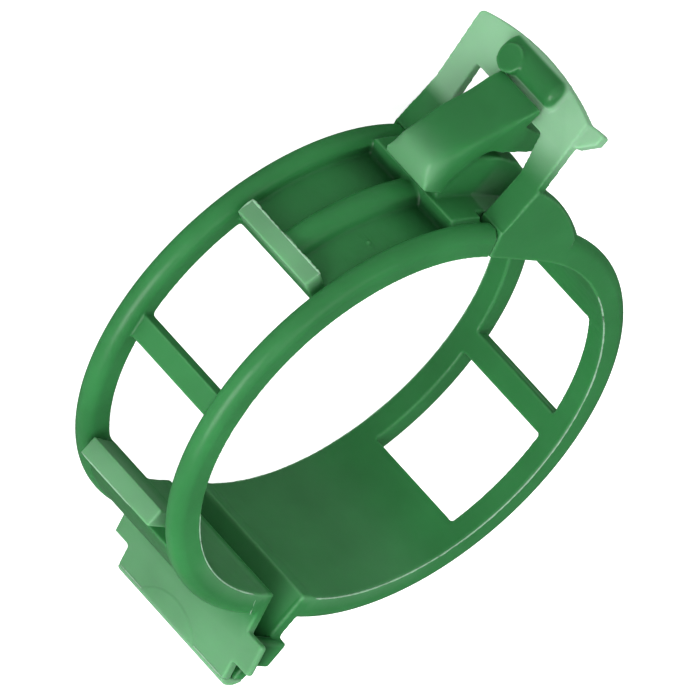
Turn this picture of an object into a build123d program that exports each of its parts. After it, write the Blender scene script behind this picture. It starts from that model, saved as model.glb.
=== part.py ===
from build123d import *
import os
from math import cos, radians, sin, sqrt

# Orchid clip: a moulded ring in two halves. A living hinge and two twine jaws join them
# at the bottom (-Y), and a hook meets a springy loop at the top (+Y).
# The origin is on the bore axis of the catch half, at mid width, with +Z along that axis.
# Angles on a half are measured from its outer side (-X or +X) up towards the latch.

# Ring
bore_radius = 12.15
rim_depth = 1.7
rim_width = 1.41
rim_round = 0.69
clip_width = 10.0
seat_spacing = 4.16

# Windows, rungs and panels
catch_window_top_angle = 34.4
catch_window_low_angle = -44.0
latch_window_top_angle = 38.5
latch_window_low_angle = -36.5
catch_rung_angle = -2.5
latch_rung_angle = 0.0
rung_depth = 0.85
rung_width = 1.5
catch_panel_depth = 0.65
latch_panel_depth = 0.95
rib_width = 1.9
rib_height = 0.9
upper_bar_angle = 4.4
upper_bar_height = 1.35
lower_bar_foot_angle = 3.0
lower_bar_crest_angle = 6.9
lower_bar_crest_height = 0.73
lower_bar_lip_angle = 4.0
lower_bar_lip_height = 1.67
lower_web_gap_angle = 1.0
lower_web_drop = 0.15
bar_length = 6.4

# Parting at the top, between the halves
part_line_low = -0.59
part_line_high = -0.95
part_gap = 0.1
catch_plate_angle = 75.0
lobe_start_angle = 83.0
past_end_angle = 96.0
tab_reach = 2.98
tab_side_gap = 0.19
tab_end_gap = 0.3
tab_setback = 0.5

# Hook on the catch half: a slanted head on a low neck
head_tip_x = 0.3
head_heel_stand = 0.05
head_run = 5.8
head_rise = 6.2
head_width = 3.56
head_round = 0.25
neck_width = 3.2
neck_reach = 2.8
neck_height = 2.65
head_top_shares = [(0, 0), (1, 0.726), (0.897, 0.992), (0.621, 1)]
head_under_shares = [(0.621, 1), (0.598, 0.871), (0.433, 0.597)]
head_chin_shares = [(0.259, 0.51), (-0.42, 0.455), (-0.42, 0.305), (0.034, 0.202), (-0.034, 0.048)]
neck_crown_shares = [(0.56, 1), (0.83, 0.92), (0.985, 0.74), (1, 0)]

# Loop on the latch half: two leaning legs under a crowned bar, whose bead is over the hook's tip.
# It leans a little to the far side too, so each edge has its place at the feet and at the top.
loop_foot_x = 0.64
loop_foot_stand = 2.82
loop_lean = 13.5
loop_thickness = 0.7
near_foot_reach = 4.8
near_top_reach = 4.35
far_foot_reach = 4.95
far_top_reach = 5.65
leg_foot_inner = 3.2
near_window_inner = 2.5
far_window_inner = 3.55
loop_corner_round = 0.35
bead_radius = 0.92
bead_over_tip = 0.872
window_under_bead = 2.07
corner_over_bead = 0.2
crown_over_bead = 1.0
bead_near_end = 2.2
bead_far_end = 2.5
pad_radius = 0.85
pad_place = 1.6
pad_stand = 0.08
pad_drop = 0.3
bead_end_round = 0.5
nub_length = 1.2
nub_tip_rise = 0.15
nub_tip_height = 0.65
nub_foot_drop = 1.7
nub_thickness = 0.7
nub_setback = 0.2
nub_round = 0.15

# End lobes of the latch half, which carry the legs
lobe_crown_share = (0.5, 0.67)

# Twine jaws and living hinge at the bottom; rises are from the foot of the jaws
jaw_stand = 0.05
jaw_length = 6.1
catch_jaw_thickness = 0.66
latch_jaw_thickness = 0.85
catch_jaw_mouth = 1.895
catch_jaw_foot = 0.73
latch_jaw_mouth = 2.275
latch_jaw_foot = 1.1
jaw_swell = 0.5
swell_top_rise = 3.0
swell_crest_rise = 2.1
swell_foot_rise = 1.0
ear_top_rise = 3.4
ear_foot_rise = 1.35
ear_length = 1.45
ear_thickness = 0.45
lug_top_rise = 3.2
lug_foot_rise = 1.5
lug_length = 0.7
lug_gap = 0.15
ear_round = 0.2
web_sag = 0.46
web_lip = 0.12

# Worked out from the sizes above
mid_x = seat_spacing / 2
half_width = clip_width / 2
clear_half = half_width - rim_width
rim_outer = bore_radius + rim_depth
centre_of = {"catch": 0, "latch": seat_spacing}
side_of = {"catch": -1, "latch": 1}
panel_outer = {
    "catch": bore_radius + catch_panel_depth,
    "latch": bore_radius + latch_panel_depth,
}
window_low = {"catch": catch_window_low_angle, "latch": latch_window_low_angle}
rung_angle = {"catch": catch_rung_angle, "latch": latch_rung_angle}
head_tip_y = rim_outer + head_heel_stand + head_rise
loop_foot_y = rim_outer + loop_foot_stand
lobe_inner = leg_foot_inner
jaw_top = bore_radius - jaw_stand
jaw_foot = jaw_top + jaw_length

os.makedirs("parts", exist_ok=True)


def save(piece, name):
    piece.part.label = name
    export_step(piece.part, f"parts/{name}.step")


def half_point(half, radius, angle, aside=0):
    """A point at a radius and angle of a half, moved aside along the ring."""
    across = radius * cos(radians(angle)) - aside * sin(radians(angle))
    along = radius * sin(radians(angle)) + aside * cos(radians(angle))
    return (centre_of[half] + side_of[half] * across, along)


def prism(points, low, high):
    with BuildPart() as piece:
        with BuildSketch(Plane.XY.offset(low)):
            Polygon(*points, align=None)
        extrude(amount=high - low)
    return piece


def arc_band(half, outer, start, end, half_length, inner=bore_radius):
    """A piece of a tube wall between two angles of a half."""
    angles = (start, (start + end) / 2, end)
    with BuildPart() as band:
        with BuildSketch(Plane.XY.offset(-half_length)):
            with BuildLine():
                ThreePointArc(*[half_point(half, inner, a) for a in angles])
                Line(half_point(half, inner, end), half_point(half, outer, end))
                ThreePointArc(*[half_point(half, outer, a) for a in reversed(angles)])
                Line(half_point(half, outer, start), half_point(half, inner, start))
            make_face()
        extrude(amount=2 * half_length)
    return band


def radial_plane(half, angle, height):
    """X points outwards along the radius, Y along the bore axis."""
    turn = angle if side_of[half] > 0 else 180 - angle
    out = (cos(radians(turn)), sin(radians(turn)), 0)
    return Plane(origin=(centre_of[half], 0, height), x_dir=out, z_dir=(out[1], -out[0], 0))


def half_axis(half):
    return Axis((centre_of[half], 0, 0), (0, 0, side_of[half]))


def keep_beside(low, high, keep_side):
    """Cut the open part by the upright plane through two points; 1 keeps its +X side."""
    run = (high[0] - low[0], high[1] - low[1])
    normal = (keep_side * run[1], -keep_side * run[0], 0)
    split(bisect_by=Plane(origin=(*low, 0), z_dir=normal), keep=Keep.TOP)


# Faces where the rims end: the parting line at the top, the jaws at the bottom
part_low = (part_line_low, bore_radius)
part_high = (part_line_high, rim_outer)


def jaw_face(half, depth):
    """X of a jaw's outer face at a depth below the origin."""
    mouth = catch_jaw_mouth if half == "catch" else latch_jaw_mouth
    foot = catch_jaw_foot if half == "catch" else latch_jaw_foot
    share = (depth - jaw_top) / (jaw_foot - jaw_top)
    return mid_x + side_of[half] * (mouth + (foot - mouth) * share)


def jaw_inner(half, depth):
    thickness = catch_jaw_thickness if half == "catch" else latch_jaw_thickness
    return jaw_face(half, depth) - side_of[half] * thickness


def jaw_space(half):
    """The space below the bore's middle on the inner side of a jaw's outer face."""
    far_x = mid_x - side_of[half] * rim_outer
    points = [
        (jaw_face(half, 0), 0),
        (jaw_face(half, jaw_foot), -jaw_foot),
        (far_x, -jaw_foot),
        (far_x, 0),
    ]
    return prism(points, -half_width, half_width)


off_jaw = {"catch": jaw_space("catch"), "latch": jaw_space("latch")}


# Rims: half rings, flat inside and on the sides, rounded outside
def half_rim(half, height):
    top_angle = past_end_angle if half == "catch" else lobe_start_angle
    with BuildPart() as rim:
        with BuildSketch(radial_plane(half, -past_end_angle, height)) as section:
            with Locations((bore_radius + rim_depth / 2, 0)):
                Rectangle(rim_depth, rim_width)
            fillet(section.vertices().group_by(Axis.X)[-1], rim_round)
        revolve(axis=half_axis(half), revolution_arc=top_angle + past_end_angle)
        add(off_jaw[half].part, mode=Mode.SUBTRACT)
        if half == "catch":
            keep_beside(part_low, part_high, -1)
    return rim


rim_height = half_width - rim_width / 2
for half in ("catch", "latch"):
    save(half_rim(half, rim_height), f"{half}_rim_near")
    save(half_rim(half, -rim_height), f"{half}_rim_far")

# Rungs: one bar across the middle of each half's window
for half in ("catch", "latch"):
    rung_points = [
        half_point(half, bore_radius, rung_angle[half], -rung_width / 2),
        half_point(half, bore_radius, rung_angle[half], rung_width / 2),
        half_point(half, bore_radius + rung_depth, rung_angle[half], rung_width / 2),
        half_point(half, bore_radius + rung_depth, rung_angle[half], -rung_width / 2),
    ]
    save(prism(rung_points, -clear_half, clear_half), f"{half}_rung")

# Upper panels: recessed walls between the rims, above the windows
latch_end_x = tab_reach + tab_end_gap
catch_band = arc_band("catch", panel_outer["catch"], catch_window_top_angle, catch_plate_angle, clear_half)
save(catch_band, "catch_upper_panel")

wide_band = arc_band("latch", panel_outer["latch"], latch_window_top_angle, lobe_start_angle, clear_half)
narrow_band = arc_band("latch", panel_outer["latch"], lobe_start_angle, 90, lobe_inner)
with BuildPart() as latch_upper_panel:
    add(wide_band.part)
    add(narrow_band.part)
    with BuildSketch(Plane.XY.offset(-lobe_inner)):
        Polygon(
            (latch_end_x, bore_radius),
            (seat_spacing, bore_radius),
            (seat_spacing, panel_outer["latch"]),
            (latch_end_x, panel_outer["latch"]),
            align=None,
        )
    extrude(amount=2 * lobe_inner)
save(latch_upper_panel, "latch_upper_panel")

# Ribs: one half-round rib along the middle of each upper panel
rib_ends = {
    "catch": (catch_window_top_angle + upper_bar_angle, catch_plate_angle),
    "latch": (latch_window_top_angle, 90),
}
for half in ("catch", "latch"):
    rib_start, rib_end = rib_ends[half]
    rib_foot = panel_outer[half]
    with BuildPart() as rib:
        with BuildSketch(radial_plane(half, rib_start, 0)):
            with BuildLine():
                Line((rib_foot, -rib_width / 2), (rib_foot, rib_width / 2))
                ThreePointArc(
                    (rib_foot, rib_width / 2),
                    (rib_foot + rib_height, 0),
                    (rib_foot, -rib_width / 2),
                )
            make_face()
        revolve(axis=half_axis(half), revolution_arc=rib_end - rib_start)
    save(rib, f"{half}_rib")

# Raised bars of the catch half, on the panels at both ends of its windows
bar_foot = panel_outer["catch"]
upper_bar = arc_band(
    "catch",
    bar_foot + upper_bar_height,
    catch_window_top_angle,
    catch_window_top_angle + upper_bar_angle,
    bar_length / 2,
    bar_foot,
)
save(upper_bar, "catch_upper_bar")

lower_bar_foot = catch_window_low_angle - lower_bar_foot_angle
lower_bar_crest = catch_window_low_angle + lower_bar_crest_angle
lower_bar_lip = catch_window_low_angle + lower_bar_lip_angle
with BuildPart() as lower_bar:
    with BuildSketch(Plane.XY.offset(-bar_length / 2)):
        with BuildLine():
            Polyline(
                half_point("catch", bar_foot, catch_window_low_angle),
                half_point("catch", bore_radius, catch_window_low_angle),
                half_point("catch", bar_foot + lower_bar_crest_height, lower_bar_crest),
                half_point("catch", bar_foot + lower_bar_lip_height, lower_bar_lip),
                half_point("catch", bar_foot, lower_bar_foot),
            )
            ThreePointArc(
                half_point("catch", bar_foot, lower_bar_foot),
                half_point("catch", bar_foot, (lower_bar_foot + catch_window_low_angle) / 2),
                half_point("catch", bar_foot, catch_window_low_angle),
            )
        make_face()
    extrude(amount=bar_length)
save(lower_bar, "catch_lower_bar")

# Lower panels: from the windows down to the jaws, the catch one thick behind its bar
thick_start = lower_bar_foot - lower_web_gap_angle
thick_outer = rim_outer - lower_web_drop
thick_band = arc_band("catch", thick_outer, thick_start, -past_end_angle, clear_half)
for half in ("catch", "latch"):
    band = arc_band(half, panel_outer[half], window_low[half], -past_end_angle, clear_half)
    with BuildPart() as lower_panel:
        add(band.part)
        if half == "catch":
            add(thick_band.part)
        add(off_jaw[half].part, mode=Mode.SUBTRACT)
    save(lower_panel, f"{half}_lower_panel")

# End plate of the catch half, with a narrower tab that lies between the latch lobes
tab_half = lobe_inner - tab_side_gap
side_cut = clear_half - tab_half
plate_arc = arc_band("catch", rim_outer, catch_plate_angle, 90, clear_half)
with BuildPart() as catch_end_plate:
    add(plate_arc.part)
    with BuildSketch(Plane.XY.offset(-clear_half)):
        Polygon(
            (0, bore_radius),
            (tab_reach, bore_radius),
            (tab_reach, rim_outer),
            (0, rim_outer),
            align=None,
        )
    extrude(amount=2 * clear_half)
    for low in (-clear_half, tab_half):
        with BuildSketch(Plane.XY.offset(low)):
            Polygon(
                (part_line_low - tab_setback, bore_radius - rim_depth),
                (part_line_high - tab_setback, rim_outer + rim_depth),
                (tab_reach + rim_depth, rim_outer + rim_depth),
                (tab_reach + rim_depth, bore_radius - rim_depth),
                align=None,
            )
        extrude(amount=side_cut, mode=Mode.SUBTRACT)
save(catch_end_plate, "catch_end_plate")


# Hook head: a slanted wedge with a chin under its tip
def head_point(share):
    return (head_tip_x - share[0] * head_run, head_tip_y - share[1] * head_rise)


head_outline = head_top_shares + head_under_shares[1:] + head_chin_shares
with BuildPart() as hook_head:
    with BuildSketch(Plane.XY.offset(-head_width / 2)):
        Polygon(*[head_point(s) for s in head_outline], align=None)
    extrude(amount=head_width)
    heel_edges = hook_head.edges().filter_by(Axis.Z).group_by(Axis.X)[0:2]
    fillet(heel_edges[0] + heel_edges[1], head_round)
save(hook_head, "hook_head")


# Hook neck: a low hump from the end plate up to the underside of the head
def neck_point(share):
    low_x = head_point(head_under_shares[0])[0]
    return (low_x + share[0] * (neck_reach - low_x), rim_outer + share[1] * neck_height)


with BuildPart() as hook_neck:
    with BuildSketch(Plane.XY.offset(-neck_width / 2)):
        foot_x = head_point(head_under_shares[0])[0]
        with BuildLine():
            under_points = [head_point(s) for s in head_under_shares]
            crown_points = [neck_point(s) for s in neck_crown_shares]
            Polyline(*under_points, *crown_points, (0, rim_outer))
            foot_y = sqrt(rim_outer ** 2 - foot_x ** 2)
            half_y = sqrt(rim_outer ** 2 - (foot_x / 2) ** 2)
            ThreePointArc((0, rim_outer), (foot_x / 2, half_y), (foot_x, foot_y))
            Line((foot_x, foot_y), head_point(head_under_shares[0]))
        make_face()
    extrude(amount=neck_width)
save(hook_neck, "hook_neck")

# Loop: legs, bar, bead and pull nub, drawn on the back face of the loop,
# with X along the bore axis, Y up the lean and Z out of its front face
lean_sin = sin(radians(loop_lean))
lean_cos = cos(radians(loop_lean))
bead_height = (head_tip_y - loop_foot_y) / lean_cos + bead_over_tip
loop_window_height = bead_height - window_under_bead
loop_corner_height = bead_height + corner_over_bead
loop_crown_height = bead_height + crown_over_bead


def loop_plane(stand=0):
    origin = (loop_foot_x - stand * lean_cos, loop_foot_y + stand * lean_sin, 0)
    return Plane(origin=origin, x_dir=(0, 0, 1), z_dir=(-lean_cos, lean_sin, 0))


def near_reach(height):
    """Place along the bore axis of the loop's near edge at a height up the lean."""
    return near_foot_reach + (near_top_reach - near_foot_reach) * height / loop_corner_height


def far_reach(height):
    return -far_foot_reach - (far_top_reach - far_foot_reach) * height / loop_corner_height


def loop_leg(foot_inner, foot_outer, window_outer, window_inner):
    with BuildPart() as leg:
        with BuildSketch(loop_plane()):
            Polygon(
                (foot_inner, 0),
                (foot_outer, 0),
                (window_outer, loop_window_height),
                (window_inner, loop_window_height),
                align=None,
            )
        extrude(amount=loop_thickness)
    return leg


near_leg = loop_leg(leg_foot_inner, near_foot_reach, near_reach(loop_window_height), near_window_inner)
save(near_leg, "loop_leg_near")
far_leg = loop_leg(-leg_foot_inner, -far_foot_reach, far_reach(loop_window_height), -far_window_inner)
save(far_leg, "loop_leg_far")

with BuildPart() as loop_bar:
    with BuildSketch(loop_plane()) as bar_face:
        with BuildLine():
            Polyline(
                (-far_top_reach, loop_corner_height),
                (far_reach(loop_window_height), loop_window_height),
                (near_reach(loop_window_height), loop_window_height),
                (near_top_reach, loop_corner_height),
            )
            ThreePointArc(
                (near_top_reach, loop_corner_height),
                ((near_top_reach - far_top_reach) / 2, loop_crown_height),
                (-far_top_reach, loop_corner_height),
            )
        make_face()
        fillet(bar_face.vertices().sort_by(Axis.Z)[0], loop_corner_round)
    extrude(amount=loop_thickness)
save(loop_bar, "loop_bar")


def loop_point(height, stand):
    """X and Y of a point up the lean, standing out from the back face."""
    x = loop_foot_x + height * lean_sin - stand * lean_cos
    return (x, loop_foot_y + height * lean_cos + stand * lean_sin)


# Bead: a half-round along the front of the bar, with the pad of an ejector pin on it
with BuildPart() as loop_bead:
    with BuildSketch(Plane.XY.offset(-bead_far_end)):
        with BuildLine():
            bead_top = loop_point(bead_height + bead_radius, loop_thickness)
            bead_foot = loop_point(bead_height - bead_radius, loop_thickness)
            ThreePointArc(bead_top, loop_point(bead_height, loop_thickness + bead_radius), bead_foot)
            Line(bead_foot, bead_top)
        make_face()
    extrude(amount=bead_far_end + bead_near_end)
    fillet(loop_bead.faces().sort_by(Axis.Z)[-1].edges().filter_by(GeomType.CIRCLE), bead_end_round)
    with BuildSketch(loop_plane(loop_thickness)):
        with Locations((-pad_place, bead_height - pad_drop)):
            Circle(pad_radius)
    extrude(amount=bead_radius + pad_stand)
save(loop_bead, "loop_bead")

# Pull nub: a small fin that stands out sideways from the near top corner of the loop
nub_tip = near_top_reach + nub_length
nub_top = loop_corner_height + nub_tip_rise
nub_foot = loop_corner_height - nub_foot_drop
with BuildPart() as loop_nub:
    with BuildSketch(loop_plane(loop_thickness - nub_setback - nub_thickness)) as nub_face:
        Polygon(
            (near_top_reach, loop_corner_height),
            (nub_tip, nub_top),
            (nub_tip, nub_top - nub_tip_height),
            (near_reach(nub_foot), nub_foot),
            align=None,
        )
        fillet(nub_face.vertices().group_by(Axis.Z)[-1], nub_round)
    extrude(amount=nub_thickness)
save(loop_nub, "loop_nub")

# End lobes of the latch half: ramps from the rims up to the feet of the legs
lobe_end_top = half_point("latch", rim_outer, lobe_start_angle)
lobe_end_low = half_point("latch", bore_radius, lobe_start_angle)
lobe_end_mid = half_point("latch", bore_radius, (lobe_start_angle + 90) / 2)
foot_back = loop_point(0, 0)
foot_front = loop_point(0, loop_thickness)
heel_drop = (foot_front[1] - rim_outer) / lean_cos
lobe_heel = loop_point(-heel_drop, loop_thickness)
crown_x = foot_back[0] + lobe_crown_share[0] * (lobe_end_top[0] - foot_back[0])
crown_y = lobe_end_top[1] + lobe_crown_share[1] * (foot_back[1] - lobe_end_top[1])


def end_lobe(side):
    with BuildPart() as lobe:
        with BuildSketch(Plane.XY.offset(side * lobe_inner)):
            with BuildLine():
                Polyline(
                    (seat_spacing, bore_radius),
                    (part_line_low + part_gap, bore_radius),
                    (part_line_high + part_gap, rim_outer),
                    lobe_heel,
                    foot_front,
                    foot_back,
                )
                ThreePointArc(foot_back, (crown_x, crown_y), lobe_end_top)
                Line(lobe_end_top, lobe_end_low)
                ThreePointArc(lobe_end_low, lobe_end_mid, (seat_spacing, bore_radius))
            make_face()
        extrude(amount=side * (half_width - lobe_inner))
    return lobe


save(end_lobe(1), "latch_lobe_near")
save(end_lobe(-1), "latch_lobe_far")

# Jaws: two plates that pinch the twine between them
swell_top = jaw_foot - swell_top_rise
swell_crest = jaw_foot - swell_crest_rise
swell_foot = jaw_foot - swell_foot_rise
catch_jaw_points = [
    (jaw_face("catch", jaw_top), -jaw_top),
    (jaw_face("catch", jaw_foot), -jaw_foot),
    (jaw_inner("catch", jaw_foot), -jaw_foot),
    (jaw_inner("catch", jaw_top), -jaw_top),
]
latch_jaw_points = [
    (jaw_face("latch", jaw_top), -jaw_top),
    (jaw_face("latch", swell_top), -swell_top),
    (jaw_face("latch", swell_crest) + jaw_swell, -swell_crest),
    (jaw_face("latch", swell_foot), -swell_foot),
    (jaw_face("latch", jaw_foot), -jaw_foot),
    (jaw_inner("latch", jaw_foot), -jaw_foot),
    (jaw_inner("latch", jaw_top), -jaw_top),
]
save(prism(catch_jaw_points, -half_width, half_width), "catch_jaw")
save(prism(latch_jaw_points, -half_width, half_width), "latch_jaw")


# Ears of the catch jaw and lugs of the latch jaw: they face each other past the rims
def side_block(points, length, name):
    for side, end in ((1, "near"), (-1, "far")):
        with BuildPart() as block:
            with BuildSketch(Plane.XY.offset(side * half_width)):
                Polygon(*points, align=None)
            extrude(amount=side * length)
            outer_face = block.faces().sort_by(Axis.Z)[-1 if side > 0 else 0]
            fillet(outer_face.edges(), ear_round)
        save(block, f"{name}_{end}")


ear_top = jaw_foot - ear_top_rise
ear_foot = jaw_foot - ear_foot_rise
lug_top = jaw_foot - lug_top_rise
lug_foot = jaw_foot - lug_foot_rise
ear_points = [
    (jaw_face("catch", ear_top), -ear_top),
    (jaw_face("catch", ear_foot), -ear_foot),
    (jaw_face("catch", ear_foot) + ear_thickness, -ear_foot),
    (jaw_face("catch", ear_top) + ear_thickness, -ear_top),
]
lug_points = [
    (jaw_inner("catch", lug_top) + lug_gap, -lug_top),
    (jaw_inner("catch", lug_foot) + lug_gap, -lug_foot),
    (jaw_face("latch", lug_foot), -lug_foot),
    (jaw_face("latch", lug_top), -lug_top),
]
side_block(ear_points, ear_length, "catch_ear")
side_block(lug_points, lug_length, "latch_lug")

# Hinge web: the thin strip that bends between the feet of the two jaws
web_left = jaw_face("catch", jaw_foot)
web_right = jaw_face("latch", jaw_foot)
with BuildPart() as hinge_web:
    with BuildSketch(Plane.XY.offset(-half_width)):
        with BuildLine():
            Polyline(
                (web_left, -jaw_foot - web_lip),
                (web_left, -jaw_foot),
                (web_right, -jaw_foot),
                (web_right, -jaw_foot - web_lip),
            )
            ThreePointArc(
                (web_right, -jaw_foot - web_lip),
                ((web_left + web_right) / 2, -jaw_foot - web_sag),
                (web_left, -jaw_foot - web_lip),
            )
        make_face()
    extrude(amount=clip_width)
save(hinge_web, "hinge_web")
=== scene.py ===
import bpy
import bmesh
import math
import random
import numpy as np
from mathutils import Matrix, Vector


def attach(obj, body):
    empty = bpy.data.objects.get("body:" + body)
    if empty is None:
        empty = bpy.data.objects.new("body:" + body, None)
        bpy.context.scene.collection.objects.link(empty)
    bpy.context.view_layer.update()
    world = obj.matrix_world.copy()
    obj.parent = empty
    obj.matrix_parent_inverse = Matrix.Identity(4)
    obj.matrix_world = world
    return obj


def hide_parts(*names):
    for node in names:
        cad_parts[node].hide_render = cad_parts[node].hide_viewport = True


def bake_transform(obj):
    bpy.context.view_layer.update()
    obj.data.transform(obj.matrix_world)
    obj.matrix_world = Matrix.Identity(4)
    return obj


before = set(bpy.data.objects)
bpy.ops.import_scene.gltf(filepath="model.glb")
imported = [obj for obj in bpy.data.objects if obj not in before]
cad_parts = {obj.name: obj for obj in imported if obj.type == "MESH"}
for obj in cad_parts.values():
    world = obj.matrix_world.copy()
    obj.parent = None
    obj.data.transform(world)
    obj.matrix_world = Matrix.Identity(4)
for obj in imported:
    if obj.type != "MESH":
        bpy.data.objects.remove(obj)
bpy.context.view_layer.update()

toMetres = 0.001

# Places of the clip's working parts, in millimetres
ring = {
    "bore": 12.15,
    "half width": 5.0,
    "catch centre": 0.0,
    "latch centre": 4.16,
    "middle": 2.08,
}
loop = {"foot": (0.64, 16.67), "lean": 13.5}
jaw = {"top": 12.1, "foot": 18.2, "mouth": 1.895, "toe": 0.73}


def halfPoint(half, radius, angle, height):
    centre = ring["catch centre"] if half == "catch" else ring["latch centre"]
    side = -1 if half == "catch" else 1
    turn = math.radians(angle)
    return Vector((centre + side * radius * math.cos(turn), radius * math.sin(turn), height))


def jawPoint(depth, height, stand=0.0):
    share = (depth - jaw["top"]) / (jaw["foot"] - jaw["top"])
    face = ring["middle"] - jaw["mouth"] + (jaw["mouth"] - jaw["toe"]) * share
    return Vector((face - stand, -depth, height))


# Green plastic: one look for all the clip, with its own thinness, painted light and shade, and painted
# edge highlights
plastic = {
    "painted shade colour": (0.001, 0.032, 0.005),
    "thick colour": (0.030, 0.190, 0.054),
    "thin and painted light colour": (0.250, 0.480, 0.290),
    "flash colour": (0.270, 0.560, 0.310),
    "roughness": 0.36,
    "roughness drift": 0.07,
    "flash roughness": 0.3,
    "scatter": 0.0009,
    "cloudiness": (0.86, 1.12),
    "unevenness": 0.12,
}


def buildPlastic(name, colour, lightColour, roughness):
    material = bpy.data.materials.new(name)
    material.use_nodes = True
    tree = material.node_tree
    nodes = tree.nodes
    links = tree.links
    shader = nodes["Principled BSDF"]
    shader.inputs["IOR"].default_value = 1.49
    shader.inputs["Specular IOR Level"].default_value = 0.3
    shader.inputs["Subsurface Weight"].default_value = 0.5
    shader.inputs["Subsurface Radius"].default_value = (0.35, 1.0, 0.4)
    shader.inputs["Subsurface Scale"].default_value = plastic["scatter"]
    place = nodes.new("ShaderNodeTexCoord")

    # cloudy colour of a regrind and masterbatch mix
    cloud = nodes.new("ShaderNodeTexNoise")
    cloud.inputs["Scale"].default_value = 170.0
    cloud.inputs["Detail"].default_value = 3.0
    links.new(place.outputs["Object"], cloud.inputs["Vector"])
    cloudRange = nodes.new("ShaderNodeMapRange")
    cloudRange.inputs["From Min"].default_value = 0.3
    cloudRange.inputs["From Max"].default_value = 0.7
    darkest, palest = plastic["cloudiness"]
    cloudRange.inputs["To Min"].default_value = darkest
    cloudRange.inputs["To Max"].default_value = palest
    links.new(cloud.outputs["Fac"], cloudRange.inputs["Value"])

    # thin walls let light through and look paler; the same mix also paints light onto faces the lamps
    # light, a painted light
    thinAndPaintedLight = nodes.new("ShaderNodeAttribute")
    thinAndPaintedLight.attribute_name = "thinness_and_painted_shading"
    body = nodes.new("ShaderNodeMix")
    body.data_type = "RGBA"
    body.inputs["A"].default_value = (*colour, 1)
    body.inputs["B"].default_value = (*lightColour, 1)
    links.new(thinAndPaintedLight.outputs["Fac"], body.inputs["Factor"])

    # below 0 is painted shade: places under and between other parts are painted darker
    paintedShadeAmount = nodes.new("ShaderNodeMapRange")
    paintedShadeAmount.inputs["From Min"].default_value = 0.0
    paintedShadeAmount.inputs["From Max"].default_value = -1.0
    links.new(thinAndPaintedLight.outputs["Fac"], paintedShadeAmount.inputs["Value"])
    paintedShade = nodes.new("ShaderNodeMix")
    paintedShade.data_type = "RGBA"
    paintedShade.inputs["B"].default_value = (*plastic["painted shade colour"], 1)
    links.new(paintedShadeAmount.outputs["Result"], paintedShade.inputs["Factor"])
    links.new(body.outputs["Result"], paintedShade.inputs["A"])

    # sharp edges get a painted highlight, paler towards the light colour
    shape = nodes.new("ShaderNodeAttribute")
    shape.attribute_name = "edge"
    edge = nodes.new("ShaderNodeMapRange")
    edge.inputs["From Min"].default_value = 0.03
    edge.inputs["From Max"].default_value = 0.30
    edge.inputs["To Max"].default_value = 0.30
    links.new(shape.outputs["Fac"], edge.inputs["Value"])
    paintedEdgeHighlight = nodes.new("ShaderNodeMix")
    paintedEdgeHighlight.data_type = "RGBA"
    paintedEdgeHighlight.inputs["B"].default_value = (*lightColour, 1)
    links.new(edge.outputs["Result"], paintedEdgeHighlight.inputs["Factor"])
    links.new(paintedShade.outputs["Result"], paintedEdgeHighlight.inputs["A"])

    shade = nodes.new("ShaderNodeMix")
    shade.data_type = "RGBA"
    shade.blend_type = "MULTIPLY"
    shade.inputs["Factor"].default_value = 1.0
    links.new(paintedEdgeHighlight.outputs["Result"], shade.inputs["A"])
    links.new(cloudRange.outputs["Result"], shade.inputs["B"])
    links.new(shade.outputs["Result"], shader.inputs["Base Color"])

    # satin skin: roughness drifts, and fine flow marks ripple the surface
    gloss = nodes.new("ShaderNodeTexNoise")
    gloss.inputs["Scale"].default_value = 420.0
    gloss.inputs["Detail"].default_value = 2.0
    links.new(place.outputs["Object"], gloss.inputs["Vector"])
    glossRange = nodes.new("ShaderNodeMapRange")
    glossRange.inputs["To Min"].default_value = roughness - plastic["roughness drift"]
    glossRange.inputs["To Max"].default_value = roughness + plastic["roughness drift"]
    links.new(gloss.outputs["Fac"], glossRange.inputs["Value"])
    links.new(glossRange.outputs["Result"], shader.inputs["Roughness"])
    grain = nodes.new("ShaderNodeTexNoise")
    grain.inputs["Scale"].default_value = 1500.0
    grain.inputs["Detail"].default_value = 4.0
    links.new(place.outputs["Object"], grain.inputs["Vector"])
    swirl = nodes.new("ShaderNodeTexNoise")
    swirl.inputs["Scale"].default_value = 330.0
    links.new(place.outputs["Object"], swirl.inputs["Vector"])
    skin = nodes.new("ShaderNodeMix")
    skin.inputs["Factor"].default_value = 0.3
    links.new(swirl.outputs["Fac"], skin.inputs["A"])
    links.new(grain.outputs["Fac"], skin.inputs["B"])
    bump = nodes.new("ShaderNodeBump")
    bump.inputs["Strength"].default_value = plastic["unevenness"]
    bump.inputs["Distance"].default_value = 0.0004
    links.new(skin.outputs["Result"], bump.inputs["Height"])
    links.new(bump.outputs["Normal"], shader.inputs["Normal"])
    return material


greenPlastic = buildPlastic(
    "greenPlastic",
    plastic["thick colour"],
    plastic["thin and painted light colour"],
    plastic["roughness"],
)
flashPlastic = buildPlastic(
    "flashPlastic",
    plastic["flash colour"],
    plastic["flash colour"],
    plastic["flash roughness"],
)
print("stage: plastic")


# Mouldings: the parts of a body run into one skin with small moulded fillets
moulding = {"voxel": 0.085, "quick voxel": 0.13, "overlap": 0.02, "softening": 5, "faces": 110000}


def joinNodes(names, overlap):
    joined = bmesh.new()
    for node in names:
        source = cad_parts[node]
        piece = bmesh.new()
        piece.from_mesh(source.data)
        piece.transform(Matrix.Scale(1 / toMetres, 4) @ source.matrix_world)
        bmesh.ops.remove_doubles(piece, verts=piece.verts, dist=0.0005)
        piece.normal_update()
        pushes = [v.normal * overlap for v in piece.verts]
        for v, push in zip(piece.verts, pushes):
            v.co += push
        mesh = bpy.data.meshes.new("piece")
        piece.to_mesh(mesh)
        piece.free()
        joined.from_mesh(mesh)
        bpy.data.meshes.remove(mesh)
    return joined


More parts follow.
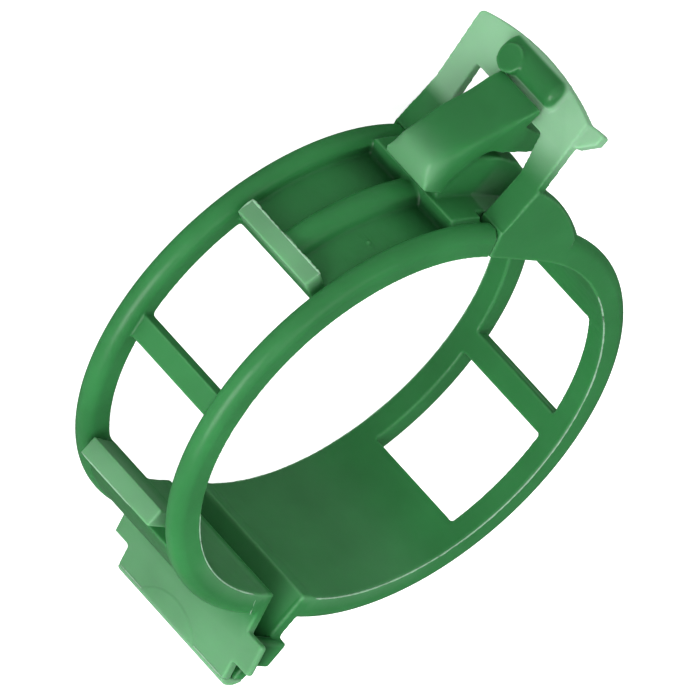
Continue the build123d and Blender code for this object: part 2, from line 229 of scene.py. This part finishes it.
def bakeModifiers(piece):
    bpy.context.view_layer.update()
    graph = bpy.context.evaluated_depsgraph_get()
    mesh = bpy.data.meshes.new_from_object(piece.evaluated_get(graph))
    piece.modifiers.clear()
    old = piece.data
    piece.data = mesh
    bpy.data.meshes.remove(old)


def skinOver(joined, name):
    mesh = bpy.data.meshes.new(name)
    joined.to_mesh(mesh)
    joined.free()
    piece = bpy.data.objects.new(name, mesh)
    bpy.context.scene.collection.objects.link(piece)
    skin = piece.modifiers.new("skin", "REMESH")
    skin.mode = "VOXEL"
    skin.voxel_size = moulding["voxel"]
    soften = piece.modifiers.new("soften", "SMOOTH")
    soften.factor = 0.5
    soften.iterations = moulding["softening"]
    bakeModifiers(piece)
    return piece


def readPoints(piece):
    points = np.empty(len(piece.data.vertices) * 3)
    piece.data.vertices.foreach_get("co", points)
    return points.reshape(-1, 3)


def writePoints(piece, points):
    piece.data.vertices.foreach_set("co", points.reshape(-1))
    piece.data.update()


def smoothStep(value, low, high):
    share = np.clip((value - low) / (high - low), 0, 1)
    return share * share * (3 - 2 * share)


def raiseDisc(piece, centre, outward, radius, height, edge=0.12, reach=0.3):
    points = readPoints(piece)
    outward = np.array(Vector(outward).normalized())
    offset = points - np.array(centre)
    along = offset @ outward
    aside = np.linalg.norm(offset - np.outer(along, outward), axis=1)
    amount = (1 - smoothStep(aside, radius - edge / 2, radius + edge / 2)) * (np.abs(along) < reach)
    writePoints(piece, points + np.outer(amount * height, outward))


def edgeEnds(piece):
    ends = np.empty(len(piece.data.edges) * 2, dtype=np.int64)
    piece.data.edges.foreach_get("vertices", ends)
    return ends.reshape(-1, 2).T


def sumNeighbours(a, b, size, fromB=None, fromA=None):
    return np.bincount(a, fromB, minlength=size) + np.bincount(b, fromA, minlength=size)


def sandDown(piece, weight, rounds):
    # rounds the corners off where the weight is above 0
    everywhere = readPoints(piece)
    strength = weight(everywhere) * 0.7
    a, b = edgeEnds(piece)
    touched = (strength[a] > 0) | (strength[b] > 0)
    chosen, ends = np.unique(np.concatenate((a[touched], b[touched])), return_inverse=True)
    a, b = ends.reshape(2, -1)
    points = everywhere[chosen]
    pull = strength[chosen][:, None]
    count = np.maximum(1, sumNeighbours(a, b, len(points)))
    for _ in range(rounds):
        middle = np.empty_like(points)
        for k in range(3):
            middle[:, k] = sumNeighbours(a, b, len(points), points[b, k], points[a, k]) / count
        points = points + pull * (middle - points)
    everywhere[chosen] = points
    writePoints(piece, everywhere)


def markEdges(piece):
    # how far each point stands out of its neighbours: above 0 on edges, below 0 in corners
    points = readPoints(piece)
    normals = np.empty(len(points) * 3)
    piece.data.vertices.foreach_get("normal", normals)
    normals = normals.reshape(-1, 3)
    a, b = edgeEnds(piece)
    length = np.linalg.norm(points[b] - points[a], axis=1) + 1e-9
    count = np.maximum(1, sumNeighbours(a, b, len(points)))
    riseA = ((points[a] - points[b]) * normals[a]).sum(1) / length
    riseB = ((points[b] - points[a]) * normals[b]).sum(1) / length
    rise = sumNeighbours(a, b, len(points), riseA, riseB) / count
    for _ in range(3):
        rise = 0.5 * rise + 0.5 * sumNeighbours(a, b, len(points), rise[b], rise[a]) / count
    attribute = piece.data.attributes.new("edge", "FLOAT", "POINT")
    attribute.data.foreach_set("value", rise.astype(np.float32))
    print(piece.name, "edges from", round(float(rise.min()), 2), "to", round(float(rise.max()), 2))


def finishMoulding(piece, faces, thinness_and_painted_shading, material):
    markEdges(piece)
    share = min(1.0, faces / max(1, len(piece.data.polygons) * 2))
    if share < 1:
        thinOut = piece.modifiers.new("thin out", "DECIMATE")
        thinOut.ratio = share
        bakeModifiers(piece)
    values = thinness_and_painted_shading(readPoints(piece)).astype(np.float32)
    attribute = piece.data.attributes.new("thinness_and_painted_shading", "FLOAT", "POINT")
    attribute.data.foreach_set("value", values)
    piece.data.materials.clear()
    piece.data.materials.append(material)
    piece.data.transform(Matrix.Scale(toMetres, 4))
    for polygon in piece.data.polygons:
        polygon.use_smooth = True
    print(piece.name, len(piece.data.polygons), "faces")


# Catch half: rims, windows, hook and the left twine jaw
catchDetails = {
    "head softness": 260,
    "ejector disc": {
        "depth": 19.9,
        "height": -0.3,
        "outward": (-0.98, -0.19, 0),
        "radius": 3.05,
        "stand": 0.06,
    },
    "pip": {"from axis": 12.8, "angle": 55.0, "height": 2.3, "radius": 0.12, "stand": 0.12},
}
catchNodes = [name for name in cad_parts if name.startswith(("catch_", "hook_"))]
catchHalf = skinOver(joinNodes(catchNodes, moulding["overlap"]), "catchHalf")


def headSoftness(points):
    onHead = smoothStep(points[:, 1], 14.3, 15.2) * smoothStep(-points[:, 0], 0.4, 1.8)
    return onHead * (0.15 + 0.85 * smoothStep(-points[:, 0], 3.0, 5.0))


sandDown(catchHalf, headSoftness, catchDetails["head softness"])
disc = catchDetails["ejector disc"]
discPlace = jawPoint(disc["depth"], disc["height"])
raiseDisc(catchHalf, discPlace, disc["outward"], disc["radius"], disc["stand"])
pip = catchDetails["pip"]
pipPlace = halfPoint("catch", pip["from axis"], pip["angle"], pip["height"])
raiseDisc(catchHalf, pipPlace, (pipPlace.x, pipPlace.y, 0), pip["radius"], pip["stand"])

# how much painted light (above 0) and painted shade (below 0) each place gets
catchPaintedTones = {
    "bar": 0.45,
    "ledge": 0.35,
    "jaw": 0.36,
    "heel": 0.4,
    "tab": 0.3,
    "low bore": 0.16,
    "under hook": -0.8,
    "under bar": -0.3,
}


def paintCatchLightAndShade(points):
    x, y, z = points.T
    wide = np.abs(z)
    radius = np.hypot(x, y)
    around = np.degrees(np.arctan2(y, -x))
    # painted light: bar, ledge, heel, tab and low bore faces are painted paler where the lamps light
    # them, and the jaw gets a painted sheen
    onBar = smoothStep(radius, 12.9, 13.9) * (wide < 3.4) * (around < 39.5) * (around > -46.5)
    onLedge = smoothStep(radius, 12.3, 13.2) * (wide < 3.4) * (around < -30) * (around > -46)
    onJaw = smoothStep(-y, 13.5, 15.5)
    onHeel = smoothStep(-x, 3.6, 5.6) * (1 - smoothStep(y, 14.6, 18.4)) * (y > 14) * (wide < 2)
    onTab = (y > 12.5) * (x > -0.5) * (radius < 14.2)
    lowBore = smoothStep(-around, 50, 62) * (radius < ring["bore"] + 0.3) * (wide < 5.2) * (x < 0.4)
    # painted shade: under the hook and under the lower bar the colour is painted darker where their
    # shadow falls
    underHook = smoothStep(around, 60, 78) * (wide < 3.6) * (y > 0)
    underHook *= 1 - smoothStep(radius, 13.2, 13.5)
    underBar = smoothStep(-around, 46.5, 48.5) * (1 - smoothStep(-around, 70, 76)) * (wide < 3.6)
    underBar *= smoothStep(radius, 13.0, 13.4) * (1 - smoothStep(-y, 13.9, 14.3))
    tone = np.maximum(catchPaintedTones["bar"] * onBar, catchPaintedTones["ledge"] * onLedge)
    tone += catchPaintedTones["jaw"] * onJaw * (1 - lowBore) + catchPaintedTones["low bore"] * lowBore
    tone += catchPaintedTones["heel"] * onHeel + catchPaintedTones["tab"] * onTab
    return tone + catchPaintedTones["under hook"] * underHook + catchPaintedTones["under bar"] * underBar


finishMoulding(catchHalf, moulding["faces"], paintCatchLightAndShade, greenPlastic)
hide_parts(*catchNodes)
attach(catchHalf, "catch_half")
print("stage: catch half")

# Latch half with its springy loop
latchNodes = [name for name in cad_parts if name.startswith(("latch_", "loop_"))]
latchHalf = skinOver(joinNodes(latchNodes, moulding["overlap"]), "latchHalf")
latchThinnessAndPaintedTones = {
    "loop": 0.95,
    "bead": -1.15,
    "behind loop": -0.5,
    "low bore": 0.12,
    "rung": 0.35,
    "gap": -0.8,
}


def latchThinnessAndPaintedShading(points):
    x, y, z = points.T
    lean = math.radians(loop["lean"])
    right = x - loop["foot"][0]
    above = y - loop["foot"][1]
    up = right * math.sin(lean) + above * math.cos(lean)
    stand = above * math.sin(lean) - right * math.cos(lean)
    near = smoothStep(z, -3.5, 5.0)
    # the loop is paler towards its top, partly for its thin wall and partly as painted light
    onLoop = smoothStep(up, -1.0 + 0.9 * near, 0.2 + 3.0 * near)
    # painted shade: the bead and the back of the loop are painted darker
    onBead = smoothStep(stand, 0.85, 1.3) * (up > 2)
    behind = smoothStep(-stand, 0.1, 0.4) * (up > 2)
    across = x - ring["latch centre"]
    # painted light: the low bore is painted paler
    lowBore = smoothStep(np.degrees(np.arctan2(-y, across)), 40, 62) * (y < 0) * (x > 2.8)
    lowBore *= np.hypot(across, y) < ring["bore"] + 0.3
    # painted shade: the jaw gap is painted darker
    inGap = smoothStep(-y, 12.3, 13.2) * (1 - smoothStep(-y, 17.4, 18.0)) * (x < 2.9)
    # painted light: the rungs are painted paler
    onRung = (np.abs(z) < 3.3) * (x > 15) * (np.abs(y) < 2)
    onLoop *= latchThinnessAndPaintedTones["loop"] + latchThinnessAndPaintedTones["bead"] * onBead + latchThinnessAndPaintedTones["behind loop"] * behind
    tone = onLoop + latchThinnessAndPaintedTones["low bore"] * lowBore + latchThinnessAndPaintedTones["rung"] * onRung
    return tone + latchThinnessAndPaintedTones["gap"] * inGap


finishMoulding(latchHalf, moulding["faces"], latchThinnessAndPaintedShading, greenPlastic)
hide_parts(*latchNodes)
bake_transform(latchHalf)
print("stage: latch half and loop")

# Living hinge: the thin web between the feet of the jaws
web = {"start": (2.00, -18.3, 0), "end": (2.36, -18.3, 0), "faces": 9000, "thinness_and_painted_shading": 0.55}
hingeWeb = skinOver(joinNodes(["hinge_web"], moulding["overlap"]), "hingeWeb")
finishMoulding(
    hingeWeb,
    web["faces"],
    lambda points: np.full(len(points), web["thinness_and_painted_shading"]),
    greenPlastic,
)
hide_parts("hinge_web")
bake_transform(hingeWeb)
print("stage: hinge web")

# Flash: fine ragged lips that the mould's edges leave
flash = {
    "sides": 6,
    "step": 0.12,
    "seed": 7,
    "radius": ring["bore"] + 0.05,
    "proud": ring["half width"] - 0.02,
    "catch rim": (-34, -86),
    "catch rim end": ((-0.55, -12.2), (-0.42, -12.75), (-0.05, -13.6)),
    "latch rim": (-88, 56),
    "jaw foot": 18.15,
    "jaw half": 4.9,
}


def runAlong(points, step):
    line = [Vector(points[0])]
    for a, b in zip(points, points[1:]):
        a = Vector(a)
        b = Vector(b)
        count = max(1, round((b - a).length / step))
        line += [a.lerp(b, i / count) for i in range(1, count + 1)]
    return line


def flashLip(name, points, width, ragged, body):
    rng = random.Random(flash["seed"] + len(name) * 31 + len(points))
    line = runAlong(points, flash["step"])
    count = len(line)
    mesh = bmesh.new()
    rings = []
    jag = 0.0
    for i, point in enumerate(line):
        ahead = line[min(i + 1, count - 1)] - line[max(i - 1, 0)]
        ahead.normalize()
        side = ahead.orthogonal().normalized()
        up = ahead.cross(side)
        jag = 0.6 * jag + 0.4 * rng.uniform(-1, 1)
        taper = min(1.0, 0.15 + min(i, count - 1 - i) / 4)
        size = width * taper * (1 + ragged * jag)
        shift = side * (jag * ragged * width * 0.5)
        ringPoints = []
        for k in range(flash["sides"]):
            turn = 2 * math.pi * k / flash["sides"]
            spot = side * math.cos(turn) * size + up * math.sin(turn) * size
            ringPoints.append(mesh.verts.new(point + shift + spot))
        rings.append(ringPoints)
    for a, b in zip(rings, rings[1:]):
        for k in range(flash["sides"]):
            j = (k + 1) % flash["sides"]
            mesh.faces.new((a[k], a[j], b[j], b[k]))
    mesh.faces.new(list(reversed(rings[0])))
    mesh.faces.new(rings[-1])
    bmesh.ops.recalc_face_normals(mesh, faces=mesh.faces)
    data = bpy.data.meshes.new(name)
    mesh.to_mesh(data)
    mesh.free()
    data.transform(Matrix.Scale(toMetres, 4))
    for polygon in data.polygons:
        polygon.use_smooth = True
    attribute = data.attributes.new("thinness_and_painted_shading", "FLOAT", "POINT")
    attribute.data.foreach_set("value", np.full(len(data.vertices), 1.0, dtype=np.float32))
    data.materials.append(flashPlastic)
    piece = bpy.data.objects.new(name, data)
    bpy.context.scene.collection.objects.link(piece)
    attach(piece, body)
    return piece


def arcPoints(half, radius, start, end, height):
    count = max(2, int(abs(end - start) / 2))
    return [halfPoint(half, radius, start + (end - start) * i / count, height) for i in range(count + 1)]


lips = {
    "rim lip": 0.045,
    "bar lip": 0.075,
    "jaw lip": 0.04,
}
for side, height in (("Near", flash["proud"]), ("Far", -flash["proud"])):
    flashLip(
        f"catchRimLip{side}",
        arcPoints("catch", flash["radius"], *flash["catch rim"], height),
        lips["rim lip"],
        0.5,
        "catch_half",
    )
    flashLip(
        f"latchRimLip{side}",
        arcPoints("latch", flash["radius"], *flash["latch rim"], height),
        lips["rim lip"],
        0.6,
        "latch_half",
    )
flashLip(
    "catchRimEndLip",
    [(x, y, flash["proud"]) for x, y in flash["catch rim end"]],
    lips["rim lip"],
    0.5,
    "catch_half",
)
bars = {
    "upper": (14.12, 38.6),
    "upper foot": 34.9,
    "upper end": 37.6,
    "lower": (14.42, -39.95),
    "lower end": 1.6,
    "half": 3.15,
}
upperRadius, upperAngle = bars["upper"]
flashLip(
    "upperBarBurr",
    [
        halfPoint("catch", upperRadius, bars["upper foot"], -bars["half"]),
        halfPoint("catch", upperRadius, upperAngle, -bars["half"]),
        halfPoint("catch", upperRadius, upperAngle, bars["half"]),
        halfPoint("catch", upperRadius, bars["upper end"], bars["half"]),
    ],
    lips["bar lip"],
    0.8,
    "catch_half",
)
lowerRadius, lowerAngle = bars["lower"]
flashLip(
    "lowerBarBurr",
    [
        halfPoint("catch", lowerRadius, lowerAngle, -bars["half"]),
        halfPoint("catch", lowerRadius, lowerAngle, bars["lower end"]),
    ],
    lips["bar lip"] * 0.7,
    0.6,
    "catch_half",
)
flashLip(
    "jawFootLip",
    [jawPoint(flash["jaw foot"], flash["jaw half"] * (i / 10 - 1)) for i in range(21)],
    lips["jaw lip"],
    0.4,
    "catch_half",
)
print("stage: flash")

# Studio: white sheet under the clip, a big soft light on its catch side
studio = {
    "floor height": -6.21,
    "floor colour": (0.80, 0.80, 0.80),
    "floor in gloss": (0.08, 0.14, 0.09),
    "floor glow": 0.85,
    "sheen": 0.2,
    "sheen side": (-0.7, -0.7, 0),
    "sheen start": 0.006,
    "sheen end": 0.022,
    "world": 0.80,
    "world in gloss": 0.12,
    "lights": [
        ("sideLight", (-0.22, -0.07, 0.12), 0.16, 0.50),
        ("topLight", (-0.04, 0.04, 0.26), 0.20, 0.12),
    ],
}


def buildStudio():
    sheet = bmesh.new()
    bmesh.ops.create_grid(sheet, x_segments=8, y_segments=8, size=1.5)
    mesh = bpy.data.meshes.new("floor")
    sheet.to_mesh(mesh)
    sheet.free()
    floor = bpy.data.objects.new("floor", mesh)
    floor.location = (0, 0, studio["floor height"] * toMetres)
    bpy.context.scene.collection.objects.link(floor)
    paper = bpy.data.materials.new("paper")
    paper.use_nodes = True
    nodes = paper.node_tree.nodes
    links = paper.node_tree.links
    shader = nodes["Principled BSDF"]
    shader.inputs["Roughness"].default_value = 0.9
    shader.inputs["Specular IOR Level"].default_value = 0.1
    glow = nodes.new("ShaderNodeEmission")
    path = nodes.new("ShaderNodeLightPath")
    tint = nodes.new("ShaderNodeMix")
    tint.data_type = "RGBA"
    tint.inputs["A"].default_value = (*studio["floor colour"], 1)
    tint.inputs["B"].default_value = (*studio["floor in gloss"], 1)
    links.new(path.outputs["Is Glossy Ray"], tint.inputs["Factor"])
    links.new(tint.outputs["Result"], shader.inputs["Base Color"])
    place = nodes.new("ShaderNodeTexCoord")
    towards = nodes.new("ShaderNodeVectorMath")
    towards.operation = "DOT_PRODUCT"
    towards.inputs[1].default_value = studio["sheen side"]
    links.new(place.outputs["Object"], towards.inputs[0])
    bright = nodes.new("ShaderNodeMapRange")
    bright.inputs["From Min"].default_value = studio["sheen start"]
    bright.inputs["From Max"].default_value = studio["sheen end"]
    bright.inputs["To Max"].default_value = studio["sheen"]
    links.new(towards.outputs["Value"], bright.inputs["Value"])
    gloss = nodes.new("ShaderNodeMath")
    gloss.operation = "MULTIPLY"
    links.new(path.outputs["Is Glossy Ray"], gloss.inputs[0])
    links.new(bright.outputs["Result"], gloss.inputs[1])
    strength = nodes.new("ShaderNodeMath")
    strength.operation = "MULTIPLY_ADD"
    strength.inputs[1].default_value = studio["floor glow"]
    links.new(path.outputs["Is Camera Ray"], strength.inputs[0])
    links.new(gloss.outputs["Value"], strength.inputs[2])
    links.new(strength.outputs["Value"], glow.inputs["Strength"])
    both = nodes.new("ShaderNodeAddShader")
    links.new(shader.outputs["BSDF"], both.inputs[0])
    links.new(glow.outputs["Emission"], both.inputs[1])
    links.new(both.outputs["Shader"], nodes["Material Output"].inputs["Surface"])
    mesh.materials.append(paper)
    world = bpy.data.worlds.new("studio")
    world.use_nodes = True
    background = world.node_tree.nodes["Background"]
    background.inputs["Color"].default_value = (1, 1, 1, 1)
    sky = world.node_tree.nodes.new("ShaderNodeLightPath")
    dim = world.node_tree.nodes.new("ShaderNodeMapRange")
    dim.inputs["To Min"].default_value = studio["world"]
    dim.inputs["To Max"].default_value = studio["world in gloss"]
    world.node_tree.links.new(sky.outputs["Is Glossy Ray"], dim.inputs["Value"])
    world.node_tree.links.new(dim.outputs["Result"], background.inputs["Strength"])
    bpy.context.scene.world = world
    for name, place, size, energy in studio["lights"]:
        data = bpy.data.lights.new(name, "AREA")
        data.shape = "DISK"
        data.size = size
        data.energy = energy
        light = bpy.data.objects.new(name, data)
        light.location = place
        aim = Vector((ring["middle"] * toMetres, 0, 0)) - light.location
        light.rotation_euler = aim.to_track_quat("-Z", "Y").to_euler()
        bpy.context.scene.collection.objects.link(light)


buildStudio()
print("stage: studio")

# Camera: the photograph's long lens, rolled with the clip
view = {
    "right": (0.61986, 0.52466, 0.58352),
    "back": (-0.78329, 0.36907, 0.50024),
    "raise": 1.161,
    "slide": -0.0064,
    "field": 38.79,
    "lens": 1400.0,
    "sensor": 36.0,
}


def buildCamera():
    right = Vector(view["right"]).normalized()
    back = Vector(view["back"]).normalized()
    up = back.cross(right).normalized()
    target = Vector((ring["middle"], 0, 0)) + up * view["raise"] + right * view["slide"]
    distance = view["lens"] * view["field"] / view["sensor"]
    data = bpy.data.cameras.new("photoCamera")
    data.lens = view["lens"]
    data.sensor_width = view["sensor"]
    data.clip_start = 0.05
    data.clip_end = 5.0
    camera = bpy.data.objects.new("photoCamera", data)
    turn = Matrix((right, up, back)).transposed().to_4x4()
    camera.matrix_world = Matrix.Translation((target + back * distance) * toMetres) @ turn
    bpy.context.scene.collection.objects.link(camera)
    bpy.context.scene.camera = camera


buildCamera()
bpy.context.scene.view_settings.view_transform = "Standard"
print("stage: camera")
